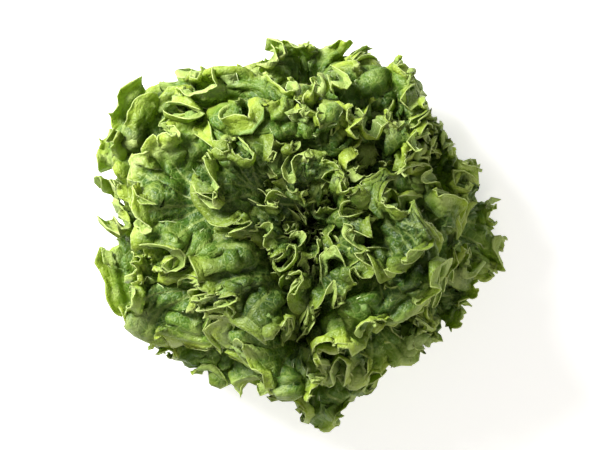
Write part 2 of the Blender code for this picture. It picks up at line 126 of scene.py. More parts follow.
# Shells of the head: lean from upright at the foot and at the tip, and where the foot is
FOOT_LEAN = (3.0, 56.0, 1.6)
TIP_LEAN = (10.0, 119.0, 1.05)
ARCH = 1.3
SHELL_STEPS = (-0.05, 1.35, 240)
WRAP_LIMIT = 2.3
WRAP_SHARE = 0.92
STEM_TOP = 0.062
STEM_FALL = 0.050
TIP_RADIUS = 0.0012
SHOULDER_RADIUS = 0.0033
FOOT_SPREAD = 0.0125

# The head as a whole: gentle bends, and how its reach changes round it (cosine, sine)
WARP = 0.0075
SIZE = 0.946
OUTLINE = [(-0.110, 0.004), (0.062, -0.026), (-0.009, 0.029), (0.013, -0.015), (0.022, -0.044)]
FLOOR_GAP = 0.0022
FLOOR_SOFTNESS = 0.003

# Stem, and where its axis stands beside the middle of the footprint
STEM_AT = (0.00505, 0.00677)
STEM_SPLIT = 0.0370
CUT_RADIUS = 0.0160
BUTT_RADIUS = 0.0176
BUTT_HEIGHT = 0.0085

# Growth of the ruffles: its steps, the pushes in metres, and what is cut back where blades cross
STILL_STEPS = 3
GROWTH_STEPS = 24
SETTLING_ROUNDS = 45
SWEEPS = 3
CONTACT_REACH = 0.0040
BESIDE_SHARE = 0.35
SPARE_GAP = 0.0005
LARGEST_PUSH = 0.0040
PUSH_BACK = 0.6
CROSSING_PUSH = 0.0010
CUT_BACK = 0.10
CUT_BACK_WIDTH = 0.9
ALIKE_REACH = 0.15

# How much of a push a point keeps and shares, and the weights of its neighbours before and after
PUSH_KEPT = 0.6
ALONG_ROW = (0.25, 0.5, 0.25)
ACROSS_ROWS = (0.2, 0.6, 0.2)

# Fine margins: how many times the ruffles, share of their depth, bend in degrees, and pull along
# the margin. Then how fast the frills' spacing drifts, in waves a ruffle
FRILLS = [(1.6, 0.98, 52, 0.13), (4.1, 0.46, 42, 0.08), (7.9, 0.19, 38, 0.03)]
FRILL_DRIFT = [(0.3, 0.8), (0.6, 1.8), (1.0, 3.0)]
FINE_BEND_STEPS = 14
FRILL_FADE = (math.radians(140), math.radians(178))
FULLNESS = 0.10
SCALLOPS = 3.3
SCALLOP_DEPTH = 0.15
NOTCH_DEPTH = 0.10

# Crinkles and blisters: waves per metre from and to, height in metres, and how much calmer they
# are at the margin
CRINKLES = [(18, 34, 0.0026, 0.5), (45, 70, 0.0015, 0.3), (90, 130, 0.0007, 0.3)]
PILLOW = 0.0024

# Fine blades, rows of points (from and to on the vein, how many, columns a ruffle), and side veins:
# how far round they reach, how stout those between the ruffles are, how far a vein stands out as a
# share of its radius, and how green it is
FINE_BLADE = 0.0006
FINE_RIB = 0.0030
FINE_ROWS = [(0.0, 0.36, 7, 6), (0.40, 0.62, 6, 12), (0.66, 0.93, 12, 24), (0.95, 1.0, 4, 48)]
VEINS_WITHIN = 0.93
BETWEEN_SIZE = 0.55
VEIN_LIFT = 0.55
VEIN_TINT = 0.4

# The shoot under the leaves' feet, and how worn the stem's side is
SHOOT_HEIGHTS = [0.0085, 0.0120, 0.0200, 0.0300, 0.0370, 0.0450, 0.0530, 0.0590, 0.0620]
SHOOT_RADII = [0.0176, 0.0172, 0.0152, 0.0131, 0.0115, 0.0094, 0.0074, 0.0045, 0.0010]
SHOOT_SIDES = 48
STEM_SIDES = 96
WEAR = 0.025
WORN_BEYOND = 0.006

# Greens of the tiers that differ from the outer leaves': deep, middle, bright, veins
GREENS = {
    "inner": [(0.032, 0.092, 0.009), (0.115, 0.234, 0.015), (0.38, 0.49, 0.045),
              (0.45, 0.56, 0.14)],
    # The heart's greens are darker as painted shade: the middle of the head lies in shade.
    "heart": [(0.018, 0.052, 0.006), (0.058, 0.120, 0.010), (0.22, 0.30, 0.030),
              (0.33, 0.42, 0.10)],
    "backs": [(0.12, 0.24, 0.045), (0.23, 0.37, 0.07), (0.38, 0.49, 0.10), (0.47, 0.57, 0.19)],
}

# Scales of the patterns in the greens, as Blender's textures count them
PATCHES = 24.0
# The pale patches are painted highlight: whitish sheen painted on the outer leaves.
PAINTED_HIGHLIGHT_PATCHES = 48.0
FLECKS = 110.0
WIDE_NET = 150.0
FINE_NET = 400.0
GRAIN = 900.0

# The photograph's framing: metres a pixel at this height, the stem's place from its middle in
# pixels, and the camera
PIXEL = 0.000675
PICTURE_WIDTH = 600
FRAMING_HEIGHT = 0.08
STEM_PIXEL = (10, 0)
CAMERA_HEIGHT = 1.5
SENSOR = 36.0

# Stage: half the floor's width, what the lights look at, and each light's place and width
FLOOR_HALF = 3.0
LIT_POINT = (0.0, 0.0, 0.1)
KEY = ((-0.9, 0.7, 0.9), 0.5)
FILL = ((0.7, -0.9, 1.0), 1.0)
WHITE = (1.0, 1.0, 1.0)
FILL_COLOUR = (1.0, 0.92, 0.80)


def by_place(place, values):
    return float(np.interp(place, PLACES, values))


def smooth(x, low, high):
    """Eases from 0 at low to 1 at high."""
    u = np.clip((np.asarray(x, float) - low) / (high - low), 0, 1)
    return u * u * (3 - 2 * u)


def softened(values, weights):
    """Each entry mixed with those before and after it; the first and last stay."""
    before, own, after = weights
    out = values.copy()
    out[1:-1] = before * values[:-2] + own * values[1:-1] + after * values[2:]
    return out


class Noise:
    """A sum of sine waves of random directions, with wave counts per unit between two limits."""

    def __init__(self, rng, low, high, waves, dims):
        way = rng.normal(size=(dims, waves))
        way /= np.linalg.norm(way, axis=0)
        self.way = way * rng.uniform(low, high, waves) * 2 * math.pi
        self.start = rng.uniform(0, 2 * math.pi, waves)
        self.height = rng.uniform(0.6, 1.0, waves) * 1.3 / math.sqrt(waves)

    def __call__(self, *coordinates):
        points = np.stack(coordinates, -1)
        return (self.height * np.sin(points @ self.way + self.start)).sum(-1)


WARP_FIELDS = [Noise(np.random.default_rng(SEED + k), 7, 12, 6, 3) for k in range(3)]


def warp_head(p):
    """Bends the whole head gently, and gives it the outline seen from above."""
    away = np.linalg.norm(p - np.array([0, 0, 0.03]), axis=-1)
    bend = np.stack([field(p[..., 0], p[..., 1], p[..., 2]) for field in WARP_FIELDS], -1)
    p = p + WARP * bend * smooth(away, 0.03, 0.11)[..., None]
    x, y = p[..., 0], p[..., 1]
    angle = np.arctan2(y, x)
    reach = np.ones_like(angle)
    for k, (cosine, sine) in enumerate(OUTLINE, 1):
        reach = reach + cosine * np.cos(k * angle) + sine * np.sin(k * angle)
    reach = 1 + (reach * SIZE - 1) * smooth(np.hypot(x, y), 0.015, 0.09)
    return np.stack([x * reach, y * reach, p[..., 2]], -1)


def above_floor(p):
    """Keeps drooping leaves just above what the head stands on."""
    z = p[..., 2] - FLOOR_GAP
    z = FLOOR_GAP + 0.5 * (z + np.sqrt(z * z + FLOOR_SOFTNESS ** 2))
    return np.stack([p[..., 0], p[..., 1], z], -1)


def shell_foot(place):
    """Radius and height at which a leaf of this place leaves the stem."""
    radius = TIP_RADIUS + SHOULDER_RADIUS * float(smooth(place, 0, 0.10))
    return radius + FOOT_SPREAD * place ** 0.8, STEM_TOP - STEM_FALL * place


class Leaf:
    """A leaf as a rule. c runs from -1 to 1 along the margin, from the foot's one side over the
    tip to its other side, and rho from 0 on the midrib to 1 on the margin, along the veins."""

    def __init__(self, place, azimuth, rng, young):
        self.place, self.azimuth, self.young = place, azimuth, young
        self.length = by_place(place, LENGTH) * rng.uniform(*LENGTH_SPREAD)
        self.half_width = by_place(place, HALF_WIDTH) * rng.uniform(*WIDTH_SPREAD)
        self.foot_half_width = by_place(place, FOOT_HALF_WIDTH)
        self.ruffles = int(round(by_place(place, RUFFLES) / 2)) * 2
        self.depth = by_place(place, RUFFLE_DEPTH)
        self.bend = math.radians(by_place(place, RUFFLE_BEND))
        self.roll = math.radians(by_place(place, MARGIN_ROLL))
        quarter = int(rng.integers(0, 4))
        self.start = (quarter % 2 * 2 + 1 if young else quarter) * math.pi / 2
        self.spacing = Noise(rng, 0.6, self.ruffles * 0.40, 6, 1)
        self.swell = Noise(rng, 0.8, self.ruffles * 0.75, 6, 1)
        self.sway = Noise(rng, 5, 13, 8, 2)
        self.lean = rng.uniform(*LEAN_SPREAD)
        self.turns = self.ruffles * math.pi
        self.lay_shell()
        self.lay_margin()
        self.lay_frills()
        rows = YOUNG_ROWS if young else LEAF_ROWS
        self.rows = [(rho, times * self.ruffles) for rho, times in rows]
        self.gain = np.ones(4 * self.ruffles + 1)

    def lay_shell(self):
        """The curve from foot to tip that this leaf's shell turns round the head's axis."""
        foot, tip = (math.radians(low + rise * self.place ** power)
                     for low, rise, power in (FOOT_LEAN, TIP_LEAN))
        share = np.linspace(*SHELL_STEPS)
        self.along = share * self.length
        lean = foot + (tip - foot) * np.sign(share) * np.abs(share) ** ARCH
        step = (share[1] - share[0]) * self.length
        middle = (lean[1:] + lean[:-1]) / 2

        def run(slope, start):
            total = np.concatenate([[0], np.cumsum(slope(middle) * step)])
            return total - np.interp(0, self.along, total) + start

        foot_radius, foot_height = shell_foot(self.place)
        self.shell = run(np.sin, foot_radius), run(np.cos, foot_height), lean

    def lay_margin(self):
        """Where each vein ends on the flat leaf's margin, with ruffles of uneven width."""
        c = np.linspace(-1, 1, MARGIN_STEPS)
        density = np.exp(UNEVENNESS * self.spacing(c))
        total = np.concatenate([[0], np.cumsum((density[1:] + density[:-1]) / 2)])
        total = total / total[-1] * 2 - 1
        edge = 1 - 1 / self.ruffles
        a = np.abs(total)
        shoulder = VEIN_END_ANGLE + (math.pi - VEIN_END_ANGLE) * (a - edge) / (1 - edge)
        angle = np.sign(total) * np.where(a < edge, a / edge * VEIN_END_ANGLE, shoulder)
        x, y = self.outline(angle)
        self.margin = c, (angle, x, y, np.gradient(x, c), np.gradient(y, c))

    def outline(self, angle):
        """Place on the flat leaf's margin, from the angle round its widest part."""
        a = np.abs(angle)
        widest = WIDEST * self.length
        upper_y = widest + (self.length - widest) * np.cos(a)
        upper_x = self.half_width * np.sin(np.minimum(a, math.pi / 2)) ** SIDE_POWER
        lower_y = widest * (1 + np.cos(a))
        rise = np.sin(math.pi / 2 * np.clip(lower_y / widest, 0, 1)) ** SHOULDER_POWER
        lower_x = self.foot_half_width + (self.half_width - self.foot_half_width) * rise
        upper = a < math.pi / 2
        x = np.sign(angle) * np.where(upper, upper_x, lower_x)
        return x, np.where(upper, upper_y, lower_y)

    def midrib(self, c):
        """How far up the midrib a vein begins."""
        return MIDRIB_SHARE * self.length * ((1 + np.cos(math.pi * np.abs(c))) / 2) ** 1.1

    def vein_ends(self, c):
        """Angle and place of each vein's end, and how the place changes along the margin."""
        table_c, tables = self.margin
        return [np.interp(c, table_c, values) for values in tables]

    def lay_frills(self):
        """What is finer than the solids: where frills, scallops, crinkles and blisters come."""
        rng = np.random.default_rng(int(abs(self.azimuth) * 1000) + SEED)
        n = self.ruffles
        self.frill_drift = [Noise(rng, n * low, n * high, 6, 1) for low, high in FRILL_DRIFT]
        self.frill_swell = Noise(rng, n * 0.3, n * 0.7, 5, 1)
        self.margin_noise = Noise(rng, 1.0, n * 1.2, 6, 1)
        self.crinkle_fields = [Noise(rng, low, high, 12, 2) for low, high, _, _ in CRINKLES]

    def scallops(self, c, phase):
        """Small rounded lobes of the margin, with sharp notches, as a share of the ruffle depth."""
        lobes = np.abs(np.sin(SCALLOPS * phase + 1.5 * self.frill_drift[1](c))) ** 0.7 - 0.6
        lobes = SCALLOP_DEPTH * lobes * (1 + 0.5 * self.frill_swell(c))
        return lobes + NOTCH_DEPTH * self.margin_noise(c)

    def spread_out(self, c, rho, fine=False):
        """The leaf unrolled: across, along, and how far it stands off its shell, inwards."""
        angle, end_x, end_y, onward_x, onward_y = self.vein_ends(c)
        root_y = self.midrib(c)
        vein = np.hypot(end_x, end_y - root_y)
        way_x, way_y = end_x / vein, (end_y - root_y) / vein
        envelope = 1 - smooth(np.abs(angle), *RUFFLE_FADE)
        gain = np.interp(c, np.linspace(-1, 1, len(self.gain)), self.gain)
        if fine:
            gain = 1 - FULLNESS * (1 - gain)
        level, change = SWELL
        swing = np.clip(level + change * self.swell(c), *SWELL_LIMITS) * envelope * gain
        phase = self.turns * c + self.start
        wave = np.sin(phase)
        depth = np.minimum(self.depth, DEPTH_LIMIT * vein)
        whole = vein + LOBE_REACH * depth * swing * np.abs(wave)
        frills = []
        if fine:
            fade = (1 - smooth(np.abs(angle), *FRILL_FADE)) * (0.45 + 0.55 * gain)
            whole = whole + depth * self.scallops(c, phase) * fade
            for (times, share, bend, pull), drift in zip(FRILLS, self.frill_drift):
                turn = times * phase + 1.6 * drift(c)
                size = fade * np.clip(0.95 + 0.35 * self.frill_swell(c), 0.4, 1.4)
                frills.append((turn, share, math.radians(bend) * size, pull * size, times))
        straight = np.minimum(rho * whole, whole - depth)
        bent = rho * whole - straight
        forward = np.zeros_like(bent)
        inward = np.zeros_like(bent)
        steps = FINE_BEND_STEPS if fine else BEND_STEPS
        for k in range(steps):
            walked = bent * (k + 0.5) / steps / depth
            part = walked ** BEND_POWER
            turn = self.bend * swing * part * (wave - OUTWARD_BIAS * np.abs(wave))
            turn = turn + self.roll * part * envelope
            for at, share, bend, _, _ in frills:
                turn = turn + bend * np.sin(at) * np.clip(1 - (1 - walked) / share, 0, 1) ** 1.2
            forward += np.cos(turn) / steps
            inward += np.sin(turn) / steps
        x = way_x * (straight + forward * bent)
        y = root_y + way_y * (straight + forward * bent)
        near = (bent / depth) ** 1.3
        gather = -GATHER * swing * near * np.sin(2 * phase) * 2 * math.pi / self.turns
        for at, share, _, pull, times in frills:
            close = np.clip(1 - (1 - bent / depth) / share, 0, 1)
            gather = gather - pull * close * np.sin(2 * at) * 2 * math.pi / (times * self.turns)
        x = x + onward_x * gather
        y = y + onward_y * gather
        sway = (SWAY[0] + SWAY[1] * self.place) * self.sway(x, y) * smooth(y, 0.02, 0.08)
        return x, y, inward * bent + sway

    def flat(self, c, rho):
        """Place on the flat leaf, across and along."""
        root_y = self.midrib(c)
        _, end_x, end_y, _, _ = self.vein_ends(c)
        return end_x * rho, root_y + (end_y - root_y) * rho

    def crinkle(self, c, rho):
        """How far the blade is raised towards its front: round blisters, veins in creases."""
        x, y = self.flat(c, rho)
        size = self.depth / 0.040 + 0.15
        between = np.abs(np.sin(math.pi * c * self.ruffles)) ** 0.7 - 0.6
        raised = PILLOW * size * between * smooth(rho, 0.10, 0.40)
        raised = raised * (1 - 0.6 * smooth(rho, 0.80, 1.0))
        for field, (_, _, height, fade) in zip(self.crinkle_fields, CRINKLES):
            calm = 1 - fade * smooth(rho, 0.72, 1.0)
            blisters = 2 * np.abs(field(x, y)) - 0.8
            raised = raised + height * size * blisters * smooth(rho, 0.05, 0.35) * calm
        return raised

    def surface(self, c, rho, fine=False):
        """Points of the blade's middle surface in the head."""
        x, y, off = self.spread_out(c, rho, fine)
        radius, height, lean = (np.interp(y, self.along, curve) for curve in self.shell)
        wrap = x / np.maximum(radius, 0.006) * WRAP_SHARE
        angle = self.azimuth + WRAP_LIMIT * np.tanh(wrap / WRAP_LIMIT) + self.lean * y / self.length
        radius = radius - np.cos(lean) * off
        height = height + np.sin(lean) * off
        return warp_head(np.stack([radius * np.cos(angle), radius * np.sin(angle), height], -1))

    def rib(self, c, rho):
        """Height of the midrib on the back."""
        x, y = self.flat(c, rho)
        fade = np.clip(1 - y / (0.86 * self.length), 0, 1)
        width = RIB_TIP_WIDTH + (RIB_FOOT_WIDTH - RIB_TIP_WIDTH) * fade
        return RIB * fade ** 0.8 * np.exp(-(x / width) ** 2)


class Net:
    """A leaf as rows of points with more of them towards the margin, woven into triangles."""

    def __init__(self, leaf):
        self.leaf = leaf
        self.lay_rows(leaf.rows)
        self.rib = self.gather(leaf.rib(self.row_c, self.row_rho))
        self.push = np.zeros((self.count, 3))
        self.wanted = leaf.gain.copy()

    def lay_rows(self, rows):
        self.rows = rows
        self.row_c = np.concatenate([np.linspace(-1, 1, n + 1) for _, n in rows])
        self.row_rho = np.concatenate([np.full(n + 1, rho) for rho, n in rows])
        self.weave()
        self.c = self.gather(self.row_c)
        self.rho = self.gather(self.row_rho)

    def weave(self):
        """Numbers the points row by row, lays triangles between the rows, and finds the edge. The
        first row is the midrib, where a point stands for both sides of the leaf."""
        half = self.rows[0][1] // 2
        self.ids = [np.abs(np.arange(2 * half + 1) - half)]
        self.count = half + 1
        for _, n in self.rows[1:]:
            self.ids.append(self.count + np.arange(n + 1))
            self.count += n + 1
        rows = [ids.tolist() for ids in self.ids]
        self.triangles = []
        for low, high in zip(rows[:-1], rows[1:]):
            cells = len(low) - 1
            for j in range(cells):
                a, b = low[j:j + 2]
                if len(high) - 1 == 2 * cells:
                    c, d, e = high[2 * j:2 * j + 3]
                    self.triangles += [(a, c, d), (a, d, b), (b, d, e)]
                else:
                    c, d = high[j:j + 2]
                    left = j < cells / 2
                    self.triangles += [(a, c, b), (b, c, d)] if left else [(a, d, b), (a, c, d)]
        self.edge = [row[0] for row in rows[:-1]] + rows[-1] + [row[-1] for row in rows[-2::-1]]

    def gather(self, values):
        """One value a point, from values row by row."""
        out = np.zeros((self.count, *values.shape[1:]))
        out[np.concatenate(self.ids)] = values
        first = values[:len(self.ids[0])]
        out[self.ids[0]] = (first + first[::-1]) / 2
        return out

    def set_growth(self, share):
        """Lays the leaf with this share of the ruffles that it wants."""
        self.leaf.gain = self.wanted * share
        self.rest = self.gather(self.leaf.surface(self.row_c, self.row_rho))

    def points(self):
        return above_floor(self.rest + self.push)

    def normals(self, p):
        """Which way the blade's front faces at each point."""
        t = np.array(self.triangles)
        facing = np.cross(p[t[:, 1]] - p[t[:, 0]], p[t[:, 2]] - p[t[:, 0]])
        normal = np.zeros_like(p)
        for k in range(3):
            np.add.at(normal, t[:, k], facing)
        return normal / np.maximum(np.linalg.norm(normal, axis=1, keepdims=True), 1e-12)

    def solid(self, blade):
        """Points and triangles of the closed blade, split alike on both faces."""
        p = self.points()
        normal = self.normals(p)
        front = p + normal * blade / 2
        back = p - normal * (blade / 2 + self.rib)[:, None]
        n = self.count
        faces = self.triangles + [(c + n, b + n, a + n) for a, b, c in self.triangles]
        for a, b in zip(self.edge[:-1], self.edge[1:]):
            faces += [(a + n, b + n, b), (a + n, b, a)]
        return np.concatenate([front, back]), faces

    def cut_back(self, marks):
        """Less ruffle and less push near these points."""
        marks = sorted(marks)
        c = self.c[marks]
        c = np.concatenate([c, -c[self.rho[marks] == 0]])
        grid = np.linspace(-1, 1, len(self.wanted))
        off = (grid[:, None] - c[None]) * self.leaf.ruffles / CUT_BACK_WIDTH
        near = np.exp(-off ** 2).max(1)
        self.wanted = self.wanted * (1 - CUT_BACK * near)
        self.push[marks] *= 1 - CUT_BACK

    def share_push(self, move):
        """Spreads a push over the points beside it, so that the blade stays fair."""
        finest = self.leaf.rows[-1][1]
        grid = np.linspace(-1, 1, finest + 1)
        level = np.stack([np.stack([np.interp(grid, np.linspace(-1, 1, len(ids)), move[ids, axis])
                                    for axis in range(3)], -1) for ids in self.ids])
        fair = softened(softened(level.swapaxes(0, 1), ALONG_ROW).swapaxes(0, 1), ACROSS_ROWS)
        out = np.zeros_like(move)
        for row, ids in enumerate(self.ids):
            out[ids] = fair[row, ::finest // (len(ids) - 1)]
        hold = 0.3 + 0.7 * smooth(self.rho, 0.0, 0.12)
        self.push = self.push + (PUSH_KEPT * move + PUSH_KEPT * out) * hold[:, None]


def apart(box, other):
    return (box[0] > other[1]).any() or (other[0] > box[1]).any()


def push_apart(nets):
    """Moves points that are too near a neighbour to their own side of it, and it the other way."""
    points = [net.points() for net in nets]
    trees = [BVHTree.FromPolygons(p.tolist(), net.triangles) for p, net in zip(points, nets)]
    boxes = [(p.min(0) - CONTACT_REACH, p.max(0) + CONTACT_REACH) for p in points]
    moves = [np.zeros_like(p) for p in points]
    hits = [np.zeros(len(p)) for p in points]
    for i, net in enumerate(nets):
        for j, other in enumerate(nets):
            if i == j or (net.leaf.young and other.leaf.young) or apart(boxes[i], boxes[j]):
                continue
            inner = net.leaf.place < other.leaf.place
            sign = 1.0 if inner else -1.0
            within = ((points[i] > boxes[j][0]) & (points[i] < boxes[j][1])).all(1)
            for v in np.nonzero(within)[0]:
                spot, normal, face, _ = trees[j].find_nearest(points[i][v], CONTACT_REACH)
                if spot is None:
                    continue
                gap = points[i][v] - np.array(spot)
                normal = np.array(normal)
                height = float(gap @ normal)
                beside = np.linalg.norm(gap - height * normal)
                height *= sign
                if beside > BESIDE_SHARE * abs(height) + CLEARANCE:
                    continue
                corners = list(other.triangles[face])
                rib = net.rib[v] if inner else other.rib[corners].max()
                lacking = BLADE + SPARE_GAP + rib - height
                if lacking <= 0:
                    continue
                push = normal * sign * min(lacking, LARGEST_PUSH) / 2
                moves[i][v] += push
                hits[i][v] += 1
                moves[j][corners] -= push * PUSH_BACK
                hits[j][corners] += PUSH_BACK
    for net, move, hit in zip(nets, moves, hits):
        net.share_push(move / np.maximum(hit, 1)[:, None])


def cut_back_crossings(nets):
    """Lessens the ruffles wherever two blades, or one blade's own lobes, still cross, and moves
    crossing blades back to their own sides. The outer blade comes first."""
    solids = [net.solid(BLADE + CLEARANCE) for net in nets]
    trees = [BVHTree.FromPolygons(p.tolist(), faces) for p, faces in solids]
    boxes = [(p.min(0), p.max(0)) for p, _ in solids]
    fronts = [net.normals(net.points()) for net in nets]
    moves = [np.zeros_like(front) for front in fronts]
    marks = [set() for _ in nets]
    crossings = 0
    for i, net in enumerate(nets):
        faces = solids[i][1]
        for tree in (trees[i], BVHTree.FromPolygons(net.solid(BLADE)[0].tolist(), faces)):
            for a, b in tree.overlap(tree):
                if a < b and not set(faces[a]) & set(faces[b]):
                    marks[i].update(v % net.count for v in faces[a] + faces[b])
                    crossings += 1
        for j in range(i + 1, len(nets)):
            if (net.leaf.young and nets[j].leaf.young) or apart(boxes[i], boxes[j]):
                continue
            for a, b in trees[i].overlap(trees[j]):
                ours = [v % net.count for v in faces[a]]
                theirs = [v % nets[j].count for v in solids[j][1][b]]
                our_rho, their_rho = net.rho[ours].max(), nets[j].rho[theirs].max()
                if our_rho >= their_rho - ALIKE_REACH:
                    marks[i].update(ours)
                if their_rho >= our_rho - ALIKE_REACH:
                    marks[j].update(theirs)
                way = fronts[i][ours].mean(0)
                moves[i][ours] = -CROSSING_PUSH * way
                moves[j][theirs] = CROSSING_PUSH * way
                crossings += 1
    for net, move, touched in zip(nets, moves, marks):
        if touched:
            net.share_push(move)
            net.cut_back(touched)
    return crossings


def grow(leaves):
    """Lets the ruffles of all leaves grow together until each has its own room."""
    nets = [Net(leaf) for leaf in leaves]
    shares = [0.0] * STILL_STEPS + [k / GROWTH_STEPS for k in range(1, GROWTH_STEPS)]
    for share in shares + [1.0] * SETTLING_ROUNDS:
        for net in nets:
            net.set_growth(share)
        for _ in range(SWEEPS):
            push_apart(nets)
        if cut_back_crossings(nets) == 0 and share == 1.0:
            break
    return nets


def plan_leaves():
    """Every leaf of the head from the outermost in, at the golden angle round the stem."""
    leaves = []
    for k in range(OUTER_LEAVES + HEART_LEAVES):
        young = k >= OUTER_LEAVES
        if young:
            (first, last), share = HEART_PLACES, ((k - OUTER_LEAVES) / (HEART_LEAVES - 1)) ** 0.9
        else:
            (first, last), share = OUTER_PLACES, k / (OUTER_LEAVES - 1)
        place = first + (last - first) * share
        rng = np.random.default_rng(SEED * 1000 + k)
        azimuth = k * GOLDEN_ANGLE + rng.uniform(-AZIMUTH_JITTER, AZIMUTH_JITTER)
        leaves.append(Leaf(place, azimuth, rng, young))
    return leaves


def read_between(values, k, u, *beside):
    """A smooth curve through the values, read a share u of the way from the kth to the next."""
    last = len(values) - 1
    a, b, c, d = (values[(np.clip(k + step, 0, last), *beside)] for step in (-1, 0, 1, 2))
    u = u[:, None]
    bend = (2 * a - 5 * b + 4 * c - d) * u ** 2 + (3 * b - a - 3 * c + d) * u ** 3
    return 0.5 * (2 * b + (c - a) * u + bend)


def along_row(values, c):
    """Values of a row's points, read at any place along the margin."""
    last = len(values) - 1
    x = np.clip((c + 1) / 2 * last, 0, last - 1e-9)
    return read_between(values, x.astype(int), x - x.astype(int))


def pushed(net, c, rho):
    """How far growth has moved the leaf here, read smoothly between the net's points."""
    levels = np.array([level for level, _ in net.rows])
    k = np.clip(np.searchsorted(levels, rho, side="right") - 1, 0, len(levels) - 2)
    u = np.clip((rho - levels[k]) / (levels[k + 1] - levels[k]), 0, 1)
    rows = np.stack([along_row(net.push[ids], c) for ids in net.ids])
    return read_between(rows, k, u, np.arange(len(c)))


class FineNet(Net):
    """A leaf's fine surface: more rows and columns than its solid, with frills and blisters."""

    def __init__(self, coarse):
        self.leaf = leaf = coarse.leaf
        self.lay_rows([(rho, times * leaf.ruffles) for low, high, count, times in FINE_ROWS
                       for rho in np.linspace(low, high, count)])
        at = self.row_c, self.row_rho
        height = self.gather(leaf.rib(*at))
        self.rib = height * FINE_RIB / RIB
        self.rest = self.gather(leaf.surface(*at, fine=True) + pushed(coarse, *at))
        raised = self.gather(leaf.crinkle(*at))
        self.push = self.normals(above_floor(self.rest)) * raised[:, None]
        self.marks = {
            "place": np.full(self.count, leaf.place),
            "reach": self.rho,
            "vein": np.abs(self.c) * leaf.ruffles,
            "midrib": height / RIB,
        }

    def column(self, c, from_row):
        """The points of one vein, from this row out to the margin."""
        rows = list(zip(self.rows, self.ids))[from_row:]
        return [ids[int(round((c + 1) / 2 * n))] for (_, n), ids in rows]


def on_stem(points):
    """From the stem's own axis to the head's frame."""
    return points + np.array([*STEM_AT, 0.0])


def placed(name, data):
    """An object of this data, at the origin of the scene."""
    made = bpy.data.objects.new(name, data)
    bpy.context.scene.collection.objects.link(made)
    return made


def new_piece(name, materials, points, faces, sides=None, marks=None, edges=()):
    """A smooth piece; sides has the number of each face's material, marks each point's values."""
    mesh = bpy.data.meshes.new(name)
    mesh.from_pydata(points.tolist(), edges, faces)
    for material in materials:
        mesh.materials.append(material)
    if sides:
        mesh.polygons.foreach_set("material_index", sides)
    for label, values in (marks or {}).items():
        mesh.attributes.new(label, "FLOAT", "POINT").data.foreach_set("value", values)
    mesh.shade_smooth()
    return placed(name, mesh)


def joined_blades(nets):
    """The closed fine blades of some leaves: points, faces, sides (0 front, 1 back) and marks."""
    points, faces, sides, marks = [], [], [], []
    at = 0
    for net in nets:
        p, f = net.solid(FINE_BLADE)
        points.append(on_stem(p))
        faces += [tuple(v + at for v in tri) for tri in f]
        front = len(net.triangles)
        sides += [0] * front + [1] * front + [0] * (len(f) - 2 * front)
        marks += [net.marks, net.marks]
        at += len(p)
    marks = {label: np.concatenate([m[label] for m in marks]) for label in marks[0]}
    return np.concatenate(points), faces, sides, marks


def turned_shape(profile, sides, roughen=None):
    """Points and faces of a closed turned solid; profile runs from its foot up to its tip."""
    angle = np.linspace(0, 2 * math.pi, sides, endpoint=False)
    points, faces = [], []
    for radius, height in profile:
        reach = radius * (roughen(angle, radius, height) if roughen else 1.0)
        ring = [reach * np.cos(angle), reach * np.sin(angle), np.full(sides, height)]
        points.append(np.stack(ring, -1))
    foot, tip = (np.array([[0.0, 0.0, profile[end][1]]]) for end in (0, -1))
    points = [foot, *points, tip]
    rings = len(profile)
    for k in range(sides):
        after = (k + 1) % sides
        faces.append((0, 1 + after, 1 + k))
        for ring in range(rings - 1):
            a, b = 1 + ring * sides, 1 + (ring + 1) * sides
            faces.append((a + k, a + after, b + after, b + k))
        last = 1 + (rings - 1) * sides
        faces.append((last + k, last + after, last + sides))
    return np.concatenate(points), faces


def shoot_profile(low, high, steps):
    """The shoot that the leaves' feet stand on, between two heights."""
    heights = np.linspace(low, high, steps)
    return [(float(np.interp(z, SHOOT_HEIGHTS, SHOOT_RADII)), float(z)) for z in heights]


def math_operator(kind, turned=False):
    """A Python operator that lays a Math node; turned gives its reflected form."""
    def lay(*terms):
        return terms[0].bench.math(kind, *(reversed(terms) if turned else terms))
    return lay


class Value:
    """A node's output. Sums on it become Math nodes in the same tree."""
    __add__ = __radd__ = math_operator("ADD")
    __mul__ = __rmul__ = math_operator("MULTIPLY")
    __sub__, __rsub__ = math_operator("SUBTRACT"), math_operator("SUBTRACT", True)
    __truediv__, __rtruediv__ = math_operator("DIVIDE"), math_operator("DIVIDE", True)
    __abs__ = math_operator("ABSOLUTE")

    def __init__(self, bench, socket):
        self.bench, self.socket = bench, socket

    def math(self, operation, *others):
        return self.bench.math(operation, self, *others)

    def ease(self, low, high):
        """0 below low, 1 above high and smooth between; turned round where low is above high."""
        limits = {"Value": self, "From Min": low, "From Max": high}
        return self.bench.node("ShaderNodeMapRange", {"interpolation_type": "SMOOTHSTEP"}, limits)


def rgba(colour):
    """A colour as sockets take it; a node's output stays as it is."""
    return colour if isinstance(colour, Value) else (*colour[:3], 1.0)


